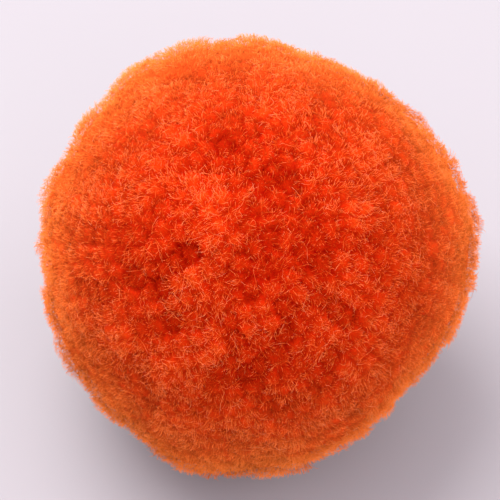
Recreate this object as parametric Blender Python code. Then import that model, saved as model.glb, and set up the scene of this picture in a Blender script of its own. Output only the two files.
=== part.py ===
"""Yarn pom pom: a trimmed ball of cut yarn, standing on a small foot of shorter yarn.

The yarn is one soft body. Its cut ends are gathered into locks that stand apart down to a bound middle,
where all their roots are one mass. Run it with: blender --background --python part.py
Metres, +Z up. The origin lies on the level yarn ends of the foot, under the ball's middle.
"""

import math
import random
from collections import namedtuple

import bmesh
import bpy
from mathutils import Vector, noise

# Driving dimensions of the ball.
BALL_RADIUS = 0.0225
BOUND_MIDDLE_RADIUS = 0.0085
FOOT_FLATTENING = 0.0012
BALL_MIDDLE = Vector((0.0, 0.0, BALL_RADIUS - FOOT_FLATTENING))

# The locks' layout: corners spread over the ball, whose triangles are joined in pairs where they can be.
# It gives 296 locks, 256 of four sides and 40 of three.
LOCK_CORNERS = 278
EVENING_ROUNDS = 6
ROOT_WANDER = 0.0006
END_WANDER = 0.0011
NADIR = Vector((0.0, 0.0, -1.0))
FOOT_REACH_DEG = 17.0
FOOT_CALM_DEG = 24.0
CALM_SHARE = 0.5
FLOOR_CLEARANCE = 0.0002

# A lock's form: the open width between neighbours' ends, and how far lengths differ.
GAP_AT_ENDS = 0.0009
LENGTH_SPREAD = 0.0004

# The rings of a lock above its root: the width as a share of the lock's, and the depth below its end.
EndRing = namedtuple("EndRing", "width depth")
ROUNDED_END = (EndRing(1.0, 0.0021), EndRing(0.86, 0.0009), EndRing(0.5, 0.0002))
LEVEL_END = (EndRing(0.94, 0.0016), EndRing(1.0, 0.0))

# Broad lumps in the trimmed surface: how high they stand, and how many there are to a radius.
LUMP_HEIGHT = 0.0007
LUMPS_PER_RADIUS = 2.6

# Where the scissors cut deeper or left the yarn long: the direction from the ball's middle, the change
# of radius at its centre, and the angle over which it fades away.
Trim = namedtuple("Trim", "azimuth_deg elevation_deg radius_change fade_deg")
TRIMS = (
    Trim(7, 4, 0.0013, 14),
    Trim(59, 36, -0.0006, 18),
    Trim(113, 38, 0.0006, 16),
    Trim(154, 20, -0.0004, 14),
    Trim(206, -20, -0.0003, 16),
    Trim(255, -39, 0.0010, 18),
    Trim(328, -24, -0.0008, 19),
)

chance = random.Random(45)


def clear_scene():
    """Remove whatever objects the file opened with."""
    for thing in list(bpy.data.objects):
        bpy.data.objects.remove(thing, do_unlink=True)


def trimmed_radius(direction):
    """Radius of the trimmed ball along a unit direction from its middle."""
    radius = BALL_RADIUS + LUMP_HEIGHT * noise.noise(direction * LUMPS_PER_RADIUS)
    for trim in TRIMS:
        azimuth = math.radians(trim.azimuth_deg)
        elevation = math.radians(trim.elevation_deg)
        centre = Vector((
            math.cos(elevation) * math.cos(azimuth),
            math.cos(elevation) * math.sin(azimuth),
            math.sin(elevation),
        ))
        away = direction.angle(centre) / math.radians(trim.fade_deg)
        radius += trim.radius_change * math.exp(-0.5 * away * away)
    return radius


def above_floor(direction, radius, clearance):
    """The same radius, or less where that length would end nearer the floor than the clearance."""
    if direction.z < 0:
        return min(radius, (BALL_MIDDLE.z - clearance) / -direction.z)
    return radius


def spiral_directions(count):
    """Unit directions spread evenly along one spiral from the top of a ball to its bottom."""
    golden_turn = math.pi * (3 - math.sqrt(5))
    for step in range(count):
        height = 1 - (2 * step + 1) / count
        out = math.sqrt(1 - height * height)
        yield Vector((out * math.cos(step * golden_turn), out * math.sin(step * golden_turn), height))


def lay_out_locks():
    """A closed net over a ball of radius 1, with one cell for each lock, turned to put a cell's middle
    straight down."""
    net = bmesh.new()
    for direction in spiral_directions(LOCK_CORNERS):
        net.verts.new(direction)
    bmesh.ops.convex_hull(net, input=net.verts)
    bmesh.ops.join_triangles(
        net, faces=net.faces, angle_face_threshold=math.pi, angle_shape_threshold=math.pi
    )
    bmesh.ops.recalc_face_normals(net, faces=net.faces)
    for _ in range(EVENING_ROUNDS):
        bmesh.ops.smooth_vert(
            net, verts=net.verts, factor=0.5, use_axis_x=True, use_axis_y=True, use_axis_z=True
        )
        for corner in net.verts:
            corner.co.normalize()
    lowest = min(net.faces, key=lambda cell: cell.calc_center_median().z)
    turn = lowest.calc_center_median().rotation_difference(NADIR)
    for corner in net.verts:
        corner.co = turn @ corner.co
    return net


def wandered(direction, reach):
    """The direction moved sideways at random, and less so around the foot."""
    if direction.angle(NADIR) < math.radians(FOOT_CALM_DEG):
        reach *= CALM_SHARE
    step = Vector([chance.uniform(-reach, reach) for _ in range(3)])
    return (direction + step / BALL_RADIUS).normalized()


def add_ring(mesh, ends, centre, width, length_along):
    """Corners of a lock's cross-section, drawn in towards its centre line."""
    aims = [centre.lerp(end, width).normalized() for end in ends]
    return [mesh.verts.new(BALL_MIDDLE + aim * length_along(aim)) for aim in aims]


def bridge(mesh, inner, outer, ranks):
    """Walls between two rings. The lower-ranked corner holds the diagonal, so that the facing walls of
    two neighbouring locks fold the same way and never cross."""
    sides = len(inner)
    for at in range(sides):
        following = (at + 1) % sides
        a, b = inner[at], inner[following]
        c, d = outer[following], outer[at]
        if ranks[at] < ranks[following]:
            mesh.faces.new((a, b, c))
            mesh.faces.new((a, c, d))
        else:
            mesh.faces.new((a, b, d))
            mesh.faces.new((b, c, d))


def add_lock(mesh, root_ring, ranks, ends):
    """One lock: flaring walls up to a rounded end, or to a shorter, level end where the ball stands."""
    centre = sum(ends, Vector()).normalized()
    reach = sum(end.angle(centre) for end in ends) / len(ends)
    drawn_in = 1 - GAP_AT_ENDS / (math.sqrt(2) * reach * BALL_RADIUS)
    stands = centre.angle(NADIR) < math.radians(FOOT_REACH_DEG)
    longer = 0.0 if stands else chance.uniform(-LENGTH_SPREAD, LENGTH_SPREAD)
    clearance = 0.0 if stands else FLOOR_CLEARANCE

    def length(aim, depth):
        return above_floor(aim, trimmed_radius(aim) + longer, clearance) - depth

    inner = root_ring
    for ring in LEVEL_END if stands else ROUNDED_END:
        outer = add_ring(mesh, ends, centre, drawn_in * ring.width, lambda aim: length(aim, ring.depth))
        bridge(mesh, inner, outer, ranks)
        inner = outer
    top = mesh.verts.new(BALL_MIDDLE + centre * length(centre, 0.0))
    sides = len(inner)
    for at in range(sides):
        mesh.faces.new((inner[at], inner[(at + 1) % sides], top))


def yarn_material():
    """Soft acrylic yarn, a strong orange that is deeper towards the roots."""
    material = bpy.data.materials.new("orange_yarn")
    material.use_nodes = True
    shader = material.node_tree.nodes["Principled BSDF"]
    shader.inputs["Base Color"].default_value = (0.83, 0.075, 0.008, 1.0)
    shader.inputs["Roughness"].default_value = 0.9
    shader.inputs["Metallic"].default_value = 0.0
    shader.inputs["Sheen Weight"].default_value = 0.4
    return material


def build_pom_pom():
    """The whole ball of yarn as one closed body."""
    net = lay_out_locks()
    mesh = bmesh.new()
    roots = {}
    ends = {}
    for corner in net.verts:
        root = wandered(corner.co.normalized(), ROOT_WANDER)
        roots[corner.index] = mesh.verts.new(BALL_MIDDLE + root * BOUND_MIDDLE_RADIUS)
        ends[corner.index] = wandered(corner.co.normalized(), END_WANDER)
    for cell in net.faces:
        ranks = [corner.index for corner in cell.verts]
        add_lock(mesh, [roots[rank] for rank in ranks], ranks, [ends[rank] for rank in ranks])
    net.free()
    data = bpy.data.meshes.new("yarn_pile")
    mesh.to_mesh(data)
    mesh.free()
    data.materials.append(yarn_material())
    pile = bpy.data.objects.new("yarn_pile", data)
    bpy.context.scene.collection.objects.link(pile)
    return pile


clear_scene()
build_pom_pom()
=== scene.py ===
"""A yarn pom pom: a trimmed ball of cut orange yarn, lying on a pale floor."""

import math

import bpy
import numpy as np
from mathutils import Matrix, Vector, noise
from mathutils.kdtree import KDTree


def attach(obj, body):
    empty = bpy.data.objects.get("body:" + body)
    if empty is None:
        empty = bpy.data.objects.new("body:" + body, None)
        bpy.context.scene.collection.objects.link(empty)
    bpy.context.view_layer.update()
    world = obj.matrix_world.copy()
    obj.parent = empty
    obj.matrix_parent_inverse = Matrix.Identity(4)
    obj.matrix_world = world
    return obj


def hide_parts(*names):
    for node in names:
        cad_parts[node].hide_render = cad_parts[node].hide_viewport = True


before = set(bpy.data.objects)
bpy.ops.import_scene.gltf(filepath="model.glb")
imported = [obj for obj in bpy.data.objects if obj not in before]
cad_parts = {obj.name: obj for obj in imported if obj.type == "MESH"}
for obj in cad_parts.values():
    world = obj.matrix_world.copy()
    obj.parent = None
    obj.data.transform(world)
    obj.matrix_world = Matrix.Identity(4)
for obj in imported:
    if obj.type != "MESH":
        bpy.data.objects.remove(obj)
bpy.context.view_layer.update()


# ---------------------------------------------------------------------------------------------
# The yarn ends. A pom pom is acrylic yarn wound round and round, tied tight across the middle
# and cut open, so some 1,650 soft brushes about 2 mm wide stand out from one point. They are
# clipped, not quite evenly, to a ball, and pressed level underneath, where the ball lies.

MM = 0.001
BALL_RADIUS = 22.5 * MM
FOOT_FLATTENING = 1.2 * MM
BALL_MIDDLE = np.array((0.0, 0.0, BALL_RADIUS - FOOT_FLATTENING))
LUMP_HEIGHT = 0.7 * MM
LUMPS_PER_RADIUS = 2.6

# Longer and shorter clipped places: azimuth and elevation in degrees, the change of radius in
# mm, and the angle in degrees over which it fades.
CLIPPED_PLACES = (
    (7, 4, 1.3, 14),
    (59, 36, -0.6, 18),
    (113, 38, 0.6, 16),
    (154, 20, -0.4, 14),
    (206, -20, -0.3, 16),
    (255, -39, 1.0, 18),
    (328, -24, -0.8, 19),
)

# Both sources of chance are seeded, because noise_vector too starts from a random place.
SEED = 7
rng = np.random.default_rng(SEED)
noise.seed_set(SEED)


def unit(vectors):
    """The vectors at a length of 1."""
    return vectors / np.linalg.norm(vectors, axis=-1, keepdims=True)


def clipped_radius(directions):
    """Radius of the clipped ball along each unit direction from its middle."""
    lumps = np.array([noise.noise(Vector(d) * LUMPS_PER_RADIUS) for d in directions])
    radius = BALL_RADIUS + LUMP_HEIGHT * lumps
    for azimuth_deg, elevation_deg, change_mm, fade_deg in CLIPPED_PLACES:
        azimuth, elevation = math.radians(azimuth_deg), math.radians(elevation_deg)
        centre = np.array((
            math.cos(elevation) * math.cos(azimuth),
            math.cos(elevation) * math.sin(azimuth),
            math.sin(elevation),
        ))
        away = np.arccos(np.clip(directions @ centre, -1, 1)) / math.radians(fade_deg)
        radius += change_mm * MM * np.exp(-0.5 * away**2)
    return radius


def above_floor(directions, radius):
    """The same radius, or less where yarn that long would go through the floor."""
    drop = np.maximum(-directions[:, 2], 1e-6)
    to_floor = BALL_MIDDLE[2] / drop
    return np.where(directions[:, 2] < 0, np.minimum(radius, to_floor), radius)


def spread_directions(count, jitter):
    """Unit directions spread over a ball along one spiral, each moved by a random jitter."""
    step = np.arange(count)
    height = 1 - (2 * step + 1) / count
    out = np.sqrt(1 - height**2)
    turn = step * math.pi * (3 - math.sqrt(5))
    places = np.stack([out * np.cos(turn), out * np.sin(turn), height], axis=1)
    return unit(places + rng.normal(0, jitter / BALL_RADIUS, (count, 3)))


def tree_of(directions):
    """A tree that finds the nearest of these directions."""
    tree = KDTree(len(directions))
    for at, place in enumerate(directions):
        tree.insert(Vector(place), at)
    tree.balance()
    return tree


# Neighbouring ends cling together in soft clumps some 6 mm wide, with partings between them.
# A tone runs from 0, the deep red of painted shade in a parting, to 1, the pale orange of a tip
# painted as lit. What stands out further is painted lighter, as it catches more light, so one
# random rise sets both the length and the tone.
CLUMPS = 160
CLUMP_RADIUS = 3.2 * MM
CLUMP_EDGE = 1.1
CLUMP_JITTER = 1.0 * MM
CLUMP_PULL = 0.10
CLUMP_DOME = 0.52 * MM
CLUMP_LENGTH_SPREAD = 0.12 * MM
CLUMP_TONE = 0.30
# An end is painted lighter on its clump's crown and darker in a parting, as painted light and
# shade.
CROWN_TONE = 0.5
TONE_SPREAD = 0.08

clump_directions = spread_directions(CLUMPS, CLUMP_JITTER)
clump_rise = rng.uniform(-1, 1, CLUMPS)
clump_tones = CLUMP_TONE * clump_rise + rng.normal(0, TONE_SPREAD, CLUMPS)
clump_tree = tree_of(clump_directions)

YARN_ENDS = 1650
END_JITTER = 0.33 * MM
END_LENGTH_SPREAD = 0.15 * MM
END_TONE = 0.18
FLUFF_RISE = 0.08 * MM

loose_directions = spread_directions(YARN_ENDS, END_JITTER)
clumped = [clump_tree.find(Vector(d)) for d in loose_directions]
end_clumps = np.array([found[1] for found in clumped])
from_clump = np.array([found[2] for found in clumped]) * BALL_RADIUS / CLUMP_RADIUS
# How high an end stands on its clump: 0.5 in the clump's middle, -0.7 in a parting.
crown = 0.5 - np.minimum(from_clump, CLUMP_EDGE) ** 2
end_directions = unit(
    loose_directions + CLUMP_PULL * (clump_directions[end_clumps] - loose_directions)
)
end_rise = rng.uniform(-1, 1, YARN_ENDS)
end_lengths = above_floor(
    end_directions,
    clipped_radius(end_directions) + FLUFF_RISE
    + CLUMP_LENGTH_SPREAD * clump_rise[end_clumps]
    + CLUMP_DOME * crown
    + END_LENGTH_SPREAD * end_rise,
)
# An end's tone: painted light where it stands higher, painted shade in a parting, and a random
# spread of the yarn's own tone.
end_tones = (
    clump_tones[end_clumps] + CROWN_TONE * crown
    + END_TONE * end_rise + rng.normal(0, TONE_SPREAD, YARN_ENDS)
)
ends_tree = tree_of(end_directions)

END_RADIUS = 1.08 * MM
END_EDGE = 1.2
GROOVE_DEPTH = 0.28 * MM
GROOVE_WIDTH = 0.9 * MM
GROOVE_SHARPNESS = 1.5


def pile_at(directions, dome_height):
    """Along each direction: which yarn end is nearest, the pile's length and its hollowness.

    Hollowness is 0 on the rounded top of an end and 1 where it meets its neighbour.
    """
    found = [ends_tree.find_n(Vector(d), 2) for d in directions]
    nearest = np.array([pair[0][1] for pair in found])
    near = np.array([pair[0][2] for pair in found]) * BALL_RADIUS
    next_near = np.array([pair[1][2] for pair in found]) * BALL_RADIUS
    hollow = 1 - np.minimum((next_near - near) / GROOVE_WIDTH, 1)
    dome = dome_height * np.minimum(near / END_RADIUS, END_EDGE) ** 2
    length = end_lengths[nearest] - dome - GROOVE_DEPTH * hollow**GROOVE_SHARPNESS
    return nearest, length, hollow


# ---------------------------------------------------------------------------------------------
# The packed yarn, the ball's heart, drawn in place of the imported yarn pile, which is hidden.
# Under the open tips the acrylic is one tight mass, held by the tie in its middle, and it shows
# only as the deeper colour between them. It is an ico sphere whose points are moved to just under
# the yarn ends' tops.

HEART_DEPTH = 1.10 * MM

# How dark a red it is painted: a base everywhere, painted shade in the grooves between the ends,
# and lighter where the ends themselves are painted lighter.
HEART_RED = 0.39
HEART_HOLLOW_SHADE = 0.40
HEART_TONE_RED = 0.35

bpy.ops.mesh.primitive_ico_sphere_add(subdivisions=7, radius=1.0, location=(0, 0, 0))
heart = bpy.context.object
heart.name = "packed_yarn"
heart_directions = np.empty(len(heart.data.vertices) * 3)
heart.data.vertices.foreach_get("co", heart_directions)
heart_directions = unit(heart_directions.reshape(-1, 3))
heart_ends, heart_lengths, heart_hollows = pile_at(heart_directions, 0.0)
heart.data.vertices.foreach_set(
    "co", (BALL_MIDDLE + heart_directions * (heart_lengths - HEART_DEPTH)[:, None]).ravel()
)
heart.data.update()
heart.data.shade_smooth()
redness_and_shade = heart.data.attributes.new("redness_and_shade", "FLOAT", "POINT")
redness_and_shade.data.foreach_set(
    "value",
    HEART_RED + HEART_HOLLOW_SHADE * heart_hollows - HEART_TONE_RED * end_tones[heart_ends],
)


def hex_colour(code):
    """A linear colour from an sRGB hex value such as e9541b."""
    parts = [int(code[at:at + 2], 16) / 255 for at in (0, 2, 4)]
    linear = [p / 12.92 if p <= 0.04045 else ((p + 0.055) / 1.055) ** 2.4 for p in parts]
    return (*linear, 1.0)


def start_material(name, **inputs):
    """A new material and its Principled shader, with each input set that is named."""
    material = bpy.data.materials.new(name)
    material.use_nodes = True
    shader = material.node_tree.nodes["Principled BSDF"]
    for label, value in inputs.items():
        shader.inputs[label.replace("_", " ")].default_value = value
    return material, shader


def add_node(material, kind, settings=None, **links):
    """A node of this kind with its settings, and with each named input linked or set.

    An input is named by its label, with _ for a space, or by its number, as in _0.
    """
    node = material.node_tree.nodes.new(kind)
    for name, value in (settings or {}).items():
        setattr(node, name, value)
    for name, value in links.items():
        key = int(name[1:]) if name[1:].isdigit() else name.replace("_", " ")
        if isinstance(value, bpy.types.NodeSocket):
            material.node_tree.links.new(value, node.inputs[key])
        else:
            node.inputs[key].default_value = value
    return node


def set_stops(ramp, stops):
    """Give a colour ramp node its stops, each a place from 0 to 1 and an sRGB hex value."""
    elements = ramp.color_ramp.elements
    elements.remove(elements[1])
    elements[0].position = stops[0][0]
    elements[0].color = hex_colour(stops[0][1])
    for place, code in stops[1:]:
        elements.new(place).color = hex_colour(code)


SHEEN_COLOUR = "ff8838"
SHEEN_POWER = 2.2


def add_pile_sheen(material, shader, full_share):
    """Mix a sheen over the shader: seen along the surface, the pile is paler, as velvet is."""
    place = add_node(material, "ShaderNodeTexCoord")
    outward = add_node(
        material, "ShaderNodeVectorMath", {"operation": "SUBTRACT"},
        _0=place.outputs["Object"], _1=tuple(BALL_MIDDLE),
    )
    across = add_node(
        material, "ShaderNodeVectorMath", {"operation": "NORMALIZE"}, _0=outward.outputs[0]
    )
    facing = add_node(
        material, "ShaderNodeLayerWeight", Blend=0.5, Normal=across.outputs[0]
    )
    slanting = add_node(
        material, "ShaderNodeMath", {"operation": "POWER"},
        _0=facing.outputs["Facing"], _1=SHEEN_POWER,
    )
    share = add_node(
        material, "ShaderNodeMath", {"operation": "MULTIPLY"},
        _0=slanting.outputs[0], _1=full_share,
    )
    sheen = add_node(material, "ShaderNodeBsdfDiffuse", Color=hex_colour(SHEEN_COLOUR))
    sheened = add_node(
        material, "ShaderNodeMixShader",
        _0=share.outputs[0], _1=shader.outputs[0], _2=sheen.outputs[0],
    )
    surface = material.node_tree.nodes["Material Output"].inputs["Surface"]
    material.node_tree.links.new(sheened.outputs[0], surface)


# Dyed acrylic, spun and packed tight: matt, deep orange red, and light sinks a little way in. Its
# colours are darker than the fibres', as painted shade deep in the pile. The crossing fibres are
# drawn as swirled ridges, much coarser than they are, so that they show; their crests are painted
# lighter and the hollows between them darker, as painted light and shade.
HEART_COLOURS = ((0.0, "ca3e0c"), (0.35, "bc2604"), (0.9, "940800"))
HEART_SHEEN = 0.35
RIDGE_SPACING = 0.625 * MM
RIDGE_HEIGHT = 0.10 * MM
RIDGE_LIGHT = 0.45

heart_yarn, heart_shader = start_material(
    "packed_acrylic_yarn", Roughness=0.9, Specular_IOR_Level=0.02,
    Subsurface_Weight=0.4, Subsurface_Scale=0.6 * MM, Subsurface_Radius=(1.0, 0.35, 0.15),
)
red = add_node(heart_yarn, "ShaderNodeAttribute", {"attribute_name": "redness_and_shade"})
heart_place = add_node(heart_yarn, "ShaderNodeTexCoord")
ridges = add_node(
    heart_yarn, "ShaderNodeTexNoise", {"noise_type": "RIDGED_MULTIFRACTAL"},
    Vector=heart_place.outputs["Object"], Scale=1 / RIDGE_SPACING,
    Detail=2.0, Roughness=0.6, Distortion=3.0,
)
ridge_shaded_red = add_node(
    heart_yarn, "ShaderNodeMath", {"operation": "MULTIPLY_ADD"},
    _0=ridges.outputs[0], _1=-RIDGE_LIGHT, _2=red.outputs["Fac"],
)
heart_ramp = add_node(heart_yarn, "ShaderNodeValToRGB", Fac=ridge_shaded_red.outputs[0])
set_stops(heart_ramp, HEART_COLOURS)
heart_yarn.node_tree.links.new(heart_ramp.outputs[0], heart_shader.inputs["Base Color"])
crumple = add_node(
    heart_yarn, "ShaderNodeBump", Height=ridges.outputs[0], Strength=1.0, Distance=RIDGE_HEIGHT
)
heart_yarn.node_tree.links.new(crumple.outputs[0], heart_shader.inputs["Normal"])
add_pile_sheen(heart_yarn, heart_shader, HEART_SHEEN)
heart.data.materials.append(heart_yarn)
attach(heart, "root")
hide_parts("yarn_pile")


# ---------------------------------------------------------------------------------------------
# The arched fibres. Each yarn end opens into a brush of fine crimped acrylic fibres, and many of
# them bend over in low arches that tangle with their neighbours'. A real one is 0.02 mm thick;
# all the fibres are drawn thicker, up to about five times, so that they show.

ARCHED_FIBRES = 48000
ARCHED_THICKNESS = 0.070 * MM

# The spread of the heading in radians, and in mm: the shortest and longest, the spread of the
# sideways bend, and the least and greatest depth of an arch's top and of its feet below that.
ARCHED_TURN = 1.0
ARCHED_LENGTHS = (0.45, 1.15)
ARCHED_BEND = 0.16
ARCHED_TOPS = (0.05, 0.75)
ARCHED_ROOTS = (0.1, 0.6)
ARCHED_TIPS = (-0.1, 0.4)

# Every fibre is a thin, closed, three-sided spindle. Its thickness varies, and grows with its
# depth. Its shading leans outwards, as light also reaches it through its neighbours. On the UV
# map it is a narrow upright strip.
THICKNESS_SPREAD = (0.7, 1.1)
TOP_THICKNESS = 0.8
DEEPER_THICKER = 0.8 / MM
OUTWARD_SHADING = 0.9
STRIP_WIDTH = 0.002


def sideways_of(directions):
    """Two unit vectors square to each direction and to each other."""
    helper = np.where(np.abs(directions[:, 2:3]) < 0.9, (0.0, 0.0, 1.0), (1.0, 0.0, 0.0))
    first = unit(np.cross(helper, directions))
    return first, np.cross(directions, first)


def spindle_faces(rings):
    """The triangles of one spindle: its corners, and how far across and up its strip each is."""
    tip = 1 + 3 * rings
    triangles, across, upwards = [], [], []
    for side in range(3):
        turn = (side + 1) % 3
        triangles.append((0, 1 + turn, 1 + side))
        across.append((0.5, 1, 0))
        upwards.append((0, 1, 1))
        for ring in range(rings - 1):
            low, high = 1 + 3 * ring, 4 + 3 * ring
            triangles.append((low + side, low + turn, high + turn))
            triangles.append((low + side, high + turn, high + side))
            across += [(0, 1, 1), (0, 1, 0)]
            upwards += [(ring + 1, ring + 1, ring + 2), (ring + 1, ring + 2, ring + 2)]
        triangles.append((tip - 3 + side, tip - 3 + turn, tip))
        across.append((0, 1, 0.5))
        upwards.append((rings, rings, rings + 1))
    return np.array(triangles), np.array(across), np.array(upwards)


def fibre_mesh(name, paths, thickness, tones, outward):
    """One mesh of spindles along the paths, an array of fibre x point x 3.

    Its UV map holds each fibre's tone across and the way from root to tip upwards.
    """
    count, points, _ = paths.shape
    rings = points - 2
    along = unit(paths[:, 2:] - paths[:, :-2]).reshape(-1, 3)
    first, second = (side.reshape(count, rings, 1, 3) for side in sideways_of(along))
    angles = (np.arange(3) * 2 * math.pi / 3)[None, None, :, None]
    around = first * np.cos(angles) + second * np.sin(angles)
    each = 2 + 3 * rings
    vertices = np.empty((count, each, 3))
    vertices[:, 0] = paths[:, 0]
    vertices[:, 1:-1] = (
        paths[:, 1:-1, None] + around * thickness[:, None, None, None] / 2
    ).reshape(count, 3 * rings, 3)
    vertices[:, -1] = paths[:, -1]
    triangles, across, upwards = spindle_faces(rings)
    corners = (np.arange(count)[:, None, None] * each + triangles).reshape(-1)
    faces = len(corners) // 3

    mesh = bpy.data.meshes.new(name)
    mesh.vertices.add(count * each)
    mesh.vertices.foreach_set("co", vertices.ravel())
    mesh.loops.add(len(corners))
    mesh.loops.foreach_set("vertex_index", corners)
    mesh.polygons.add(faces)
    mesh.polygons.foreach_set("loop_start", np.arange(faces) * 3)
    mesh.polygons.foreach_set("loop_total", np.full(faces, 3))
    mesh.update(calc_edges=True)
    uv = np.empty((count, len(triangles), 3, 2))
    uv[..., 0] = (tones * (1 - STRIP_WIDTH))[:, None, None] + across * STRIP_WIDTH
    uv[..., 1] = upwards / (points - 1)
    mesh.uv_layers.new(name="OFBake").data.foreach_set("uv", uv.ravel())
    mesh.shade_smooth()
    normals = np.empty((count, each, 3))
    normals[:, 0] = unit(paths[:, 0] - paths[:, 1])
    normals[:, 1:-1] = around.reshape(count, 3 * rings, 3)
    normals[:, -1] = unit(paths[:, -1] - paths[:, -2])
    normals = unit(normals + OUTWARD_SHADING * outward[:, None])
    mesh.normals_split_custom_set_from_vertices(normals.reshape(-1, 3))
    made = bpy.data.objects.new(name, mesh)
    bpy.context.scene.collection.objects.link(made)
    return made


# Cut acrylic yarn ends: fine, fluffy and matt, and half clear, so that they glow in a deeper
# orange where light comes through them. A fibre is painted darker and redder the deeper it lies
# and near its root, as painted shade, and paler toward its tip, as painted light.
FIBRE_COLOURS = (
    (0.0, "a40600"), (0.4, "d6340a"), (0.7, "ee6a28"), (0.88, "fa9056"), (1.0, "ffc8a2"),
)
FIBRE_SHEEN = 0.7
ROOT_TO_TIP_TONE = 0.45
THROUGH_DEPTH = 1.5
THROUGH_SHARE = 0.5

fibre_yarn, fibre_shader = start_material(
    "cut_acrylic_fibre", Roughness=0.45, Specular_IOR_Level=0.0
)
fibre_map = add_node(fibre_yarn, "ShaderNodeUVMap", {"uv_map": "OFBake"})
tone_and_rise = add_node(fibre_yarn, "ShaderNodeSeparateXYZ", Vector=fibre_map.outputs["UV"])
rise_light = add_node(
    fibre_yarn, "ShaderNodeMath", {"operation": "MULTIPLY"},
    _0=tone_and_rise.outputs["Y"], _1=ROOT_TO_TIP_TONE,
)
light = add_node(
    fibre_yarn, "ShaderNodeMath", {"operation": "MULTIPLY_ADD"},
    _0=tone_and_rise.outputs["X"], _1=1 - ROOT_TO_TIP_TONE, _2=rise_light.outputs[0],
)
fibre_ramp = add_node(fibre_yarn, "ShaderNodeValToRGB", Fac=light.outputs[0])
set_stops(fibre_ramp, FIBRE_COLOURS)
fibre_yarn.node_tree.links.new(fibre_ramp.outputs[0], fibre_shader.inputs["Base Color"])
through = add_node(
    fibre_yarn, "ShaderNodeGamma", Color=fibre_ramp.outputs[0], Gamma=THROUGH_DEPTH
)
glow = add_node(fibre_yarn, "ShaderNodeBsdfTranslucent", Color=through.outputs[0])
blend = add_node(
    fibre_yarn, "ShaderNodeMixShader",
    _0=THROUGH_SHARE, _1=fibre_shader.outputs[0], _2=glow.outputs[0],
)
add_pile_sheen(fibre_yarn, blend, FIBRE_SHEEN)

# An end's fibres draw together, splay out from its middle and lean one way, as brushed. Each has
# its own tone, with painted shade that makes it darker with depth and in the grooves, and some
# are painted paler as glints. Each quarter of the ball is one mesh, so that no mesh is too large.
ROOT_JITTER = 0.3 * MM
BRUSH_PULL = 0.14
END_DOME = 0.34 * MM
END_LEAN = 1.8
LEANS_PER_RADIUS = 5.0
SURFACE_TONE = 0.88
DEPTH_SHADE_FADE = 0.85 * MM
HOLLOW_SHADE_TONE = 0.85
FIBRE_TONE_SPREAD = 0.25
GLINTS = 0.18
GLINT_TONE = 0.8
FLOOR_GAP = ARCHED_THICKNESS / 2
QUARTERS = 4

end_leans = np.array([noise.noise_vector(Vector(d) * LEANS_PER_RADIUS) for d in end_directions])


def grow_fibres(kind, bend_fibres, count, thickness, lighter):
    """Cover the ball with one kind of fibre, as one mesh for each quarter.

    From the way the pile flows at each fibre, bend_fibres gives how far its points lie along
    the surface, both ways, and how deep they lie, and then how deep it is as a whole.
    """
    roots = spread_directions(count, ROOT_JITTER)
    ends, _, _ = pile_at(roots, END_DOME)
    roots = unit(roots + BRUSH_PULL * (end_directions[ends] - roots))
    ends, lengths, hollows = pile_at(roots, END_DOME)
    first, second = sideways_of(roots)
    splay = (roots - end_directions[ends]) * BALL_RADIUS / END_RADIUS + END_LEAN * end_leans[ends]
    flow = np.stack([(splay * first).sum(1), (splay * second).sum(1)], axis=1)
    x, y, depth, top = bend_fibres(flow)
    paths = BALL_MIDDLE + (
        roots[:, None] * (lengths[:, None] - depth)[..., None]
        + first[:, None] * x[..., None]
        + second[:, None] * y[..., None]
    )
    paths[..., 2] = np.maximum(paths[..., 2], FLOOR_GAP)
    # The tone is painted: darker with depth and in the grooves as painted shade, lighter for a
    # kind painted as lit, plus the end's tone and a random spread.
    tones = (
        SURFACE_TONE + lighter - top[:, 0] / DEPTH_SHADE_FADE - HOLLOW_SHADE_TONE * hollows
        + end_tones[ends] + rng.normal(0, FIBRE_TONE_SPREAD, count)
    ).clip(0, 1)
    glinting = rng.random(count) < GLINTS
    tones = (tones * (1 + GLINT_TONE * glinting)).clip(0, 1)
    thicknesses = (
        thickness * rng.uniform(*THICKNESS_SPREAD, count)
        * (TOP_THICKNESS + DEEPER_THICKER * top[:, 0].clip(0))
    )
    quarter = np.floor(np.arctan2(roots[:, 1], roots[:, 0]) / (2 * math.pi) % 1 * QUARTERS)
    for at in range(QUARTERS):
        chosen = quarter == at
        brush = fibre_mesh(
            f"{kind}_fibres_{at + 1}",
            paths[chosen], thicknesses[chosen], tones[chosen], roots[chosen],
        )
        brush.data.materials.append(fibre_yarn)
        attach(brush, "root")


def headings_about(flow, spread):
    """Headings in the surface, from its first direction to its second, spread about the flow."""
    return np.arctan2(flow[:, 1:], flow[:, :1]) + rng.normal(0, spread, (len(flow), 1))


def turned(along, across, heading):
    """The points at these distances along and across a heading in the surface."""
    x = along * np.cos(heading) - across * np.sin(heading)
    y = along * np.sin(heading) + across * np.cos(heading)
    return x, y


def arched_fibres(flow):
    """Short fibres bent over in low arches, lying across the pile."""
    steps = np.array((0.0, 0.5, 1.0))
    count = len(flow)
    heading = headings_about(flow, ARCHED_TURN)
    length = rng.uniform(*ARCHED_LENGTHS, (count, 1)) * MM
    bend = rng.normal(0, ARCHED_BEND, (count, 1)) * MM
    x, y = turned((steps - 0.5) * length, bend * np.sin(math.pi * steps), heading)
    top = rng.uniform(*ARCHED_TOPS, (count, 1)) * MM
    root_drop = rng.uniform(*ARCHED_ROOTS, (count, 1)) * MM
    tip_drop = rng.uniform(*ARCHED_TIPS, (count, 1)) * MM
    depth = top + root_drop * (1 - 2 * steps).clip(0) + tip_drop * (2 * steps - 1).clip(0)
    return x, y, depth, top


grow_fibres("arched", arched_fibres, ARCHED_FIBRES, ARCHED_THICKNESS, lighter=0.0)


# ---------------------------------------------------------------------------------------------
# The standing fibres. The straighter acrylic fibres of a cut end stand up out of the pile and
# lean over a little. They are the fluff that makes the ball's outline soft.

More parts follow.
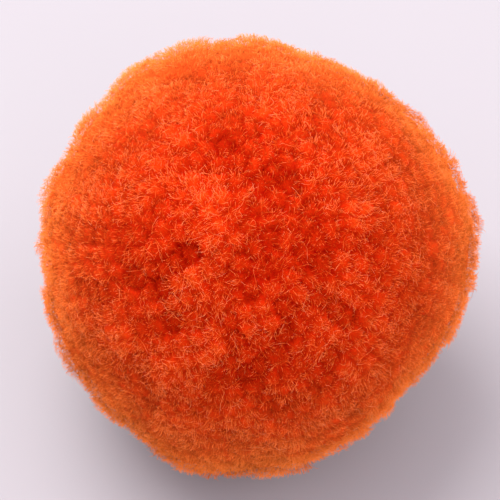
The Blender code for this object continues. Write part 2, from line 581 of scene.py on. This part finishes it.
STANDING_FIBRES = 89000
STANDING_THICKNESS = 0.056 * MM

# The spread of the heading in radians, and in mm: the spread of the lean, and the least and
# greatest depth of root and tip. Two powers say how late a hair leans over and levels off.
STANDING_TURN = 0.6
STANDING_LEAN = 0.5
STANDING_ROOTS = (0.4, 0.8)
STANDING_TIPS = (-0.30, 0.10)
LEAN_POWER = 1.6
LEVEL_POWER = 1.5


def standing_fibres(flow):
    """Fine hairs that stand up out of the pile and lean over a little."""
    steps = np.array((0.0, 0.75, 1.0))
    count = len(flow)
    heading = headings_about(flow, STANDING_TURN)
    lean = np.abs(rng.normal(0, STANDING_LEAN, (count, 1))) * MM
    x = lean * np.cos(heading) * steps**LEAN_POWER
    y = lean * np.sin(heading) * steps**LEAN_POWER
    root = rng.uniform(*STANDING_ROOTS, (count, 1)) * MM
    tip = rng.uniform(*STANDING_TIPS, (count, 1)) * MM
    depth = root + (tip - root) * (1 - (1 - steps) ** LEVEL_POWER)
    return x, y, depth, tip


# The standing fibres are painted lighter, as painted light on the outer fluff.
grow_fibres("standing", standing_fibres, STANDING_FIBRES, STANDING_THICKNESS, lighter=0.15)


# ---------------------------------------------------------------------------------------------
# The curled fibres. Spinning leaves acrylic fibres crimped, and longer ones that have worked
# loose wander over the pile. A few very long ones stray out of it.

CURLED_FIBRES = 3600
CURLED_THICKNESS = 0.045 * MM
STRAYS = 0.014
STRAY_LENGTH = 2.2

# The spread of the heading and the run of the crimp's wave in radians, and in mm: the shortest
# and longest, the spread of crimp and bend, and the least and greatest depth of the fibre, and
# of its root and tip below that. A stray lies higher.
CURLED_TURN = 1.0
CURLED_WAVE = 7.0
CURLED_LENGTHS = (1.0, 2.4)
CURLED_CRIMP = 0.22
CURLED_BEND = 0.4
CURLED_TOPS = (-0.1, 0.2)
STRAY_TOP = -0.15
CURLED_ROOTS = (0.1, 0.6)
CURLED_TIPS = (-0.3, 0.3)


def curled_fibres(flow):
    """Longer crimped fibres that wander over the pile, with a few long stray ones."""
    steps = np.linspace(0, 1, 5)
    count = len(flow)
    heading = headings_about(flow, CURLED_TURN)
    stray = rng.random((count, 1)) < STRAYS
    stretch = np.where(stray, STRAY_LENGTH, 1)
    length = rng.uniform(*CURLED_LENGTHS, (count, 1)) * stretch * MM
    crimp = rng.normal(0, CURLED_CRIMP, (count, 1)) * MM
    bend = rng.normal(0, CURLED_BEND, (count, 1)) * stretch * MM
    start = rng.uniform(0, 2 * math.pi, (count, 1))
    across = crimp * np.sin(start + steps * CURLED_WAVE) + bend * np.sin(math.pi * steps)
    x, y = turned((steps - 0.5) * length, across, heading)
    top = np.where(stray, STRAY_TOP, rng.uniform(*CURLED_TOPS, (count, 1))) * MM
    depth = (
        top
        + rng.uniform(*CURLED_ROOTS, (count, 1)) * MM * (1 - steps) ** 2
        + rng.uniform(*CURLED_TIPS, (count, 1)) * MM * steps**2
    )
    return x, y, depth, top


# The curled fibres are painted lighter, as painted glints.
grow_fibres("curled", curled_fibres, CURLED_FIBRES, CURLED_THICKNESS, lighter=0.2)


# ---------------------------------------------------------------------------------------------
# The floor, the light and the camera. The floor is a sheet of pale matt board, lit by a large
# soft window overhead and two weaker fills, and seen from in front and above.

FLOOR_SIZE = 3.0
floor_paint, _ = start_material("pale_matt_floor", Base_Color=hex_colour("928c90"), Roughness=0.8)
bpy.ops.mesh.primitive_plane_add(size=FLOOR_SIZE, location=(0, 0, 0))
floor = bpy.context.object
floor.name = "floor"
floor.data.materials.append(floor_paint)

world = bpy.data.worlds.new("pale_room")
bpy.context.scene.world = world
world.use_nodes = True
world.node_tree.nodes["Background"].inputs["Color"].default_value = hex_colour("f4f2f8")
world.node_tree.nodes["Background"].inputs["Strength"].default_value = 1.70


def add_soft_light(name, place, size, power):
    """A square area light aimed at the ball's middle."""
    bpy.ops.object.light_add(type="AREA", location=place)
    light = bpy.context.object
    light.name = name
    light.data.size = size
    light.data.energy = power
    aim = Vector(BALL_MIDDLE) - light.location
    light.rotation_euler = aim.to_track_quat("-Z", "Y").to_euler()


add_soft_light("overhead_window", place=(-0.16, 0.12, 0.45), size=0.38, power=3.8)
add_soft_light("front_fill", place=(0.25, -0.5, 0.22), size=0.4, power=1.19)
add_soft_light("side_fill", place=(0.45, 0.05, 0.2), size=0.3, power=0.95)

# The focal length is in pixels of the image, and the camera aims a little past the ball's middle.
IMAGE_WIDTH = 500
FOCAL_LENGTH = 2299
CAMERA_ELEVATION = math.radians(50)
CAMERA_DISTANCE = 0.24
AIM_LEFT = 0.31 * MM
AIM_UP = 0.52 * MM

bpy.ops.object.camera_add()
camera = bpy.context.object
backward = Vector((0, -math.cos(CAMERA_ELEVATION), math.sin(CAMERA_ELEVATION)))
upward = Vector((0, math.sin(CAMERA_ELEVATION), math.cos(CAMERA_ELEVATION)))
aim = Vector(BALL_MIDDLE) - Vector((1, 0, 0)) * AIM_LEFT + upward * AIM_UP
camera.location = aim + backward * CAMERA_DISTANCE
camera.rotation_euler = (-backward).to_track_quat("-Z", "Y").to_euler()
camera.data.angle = 2 * math.atan(IMAGE_WIDTH / 2 / FOCAL_LENGTH)
camera.data.clip_start = 0.01
bpy.context.scene.camera = camera
bpy.context.scene.view_settings.view_transform = "Standard"
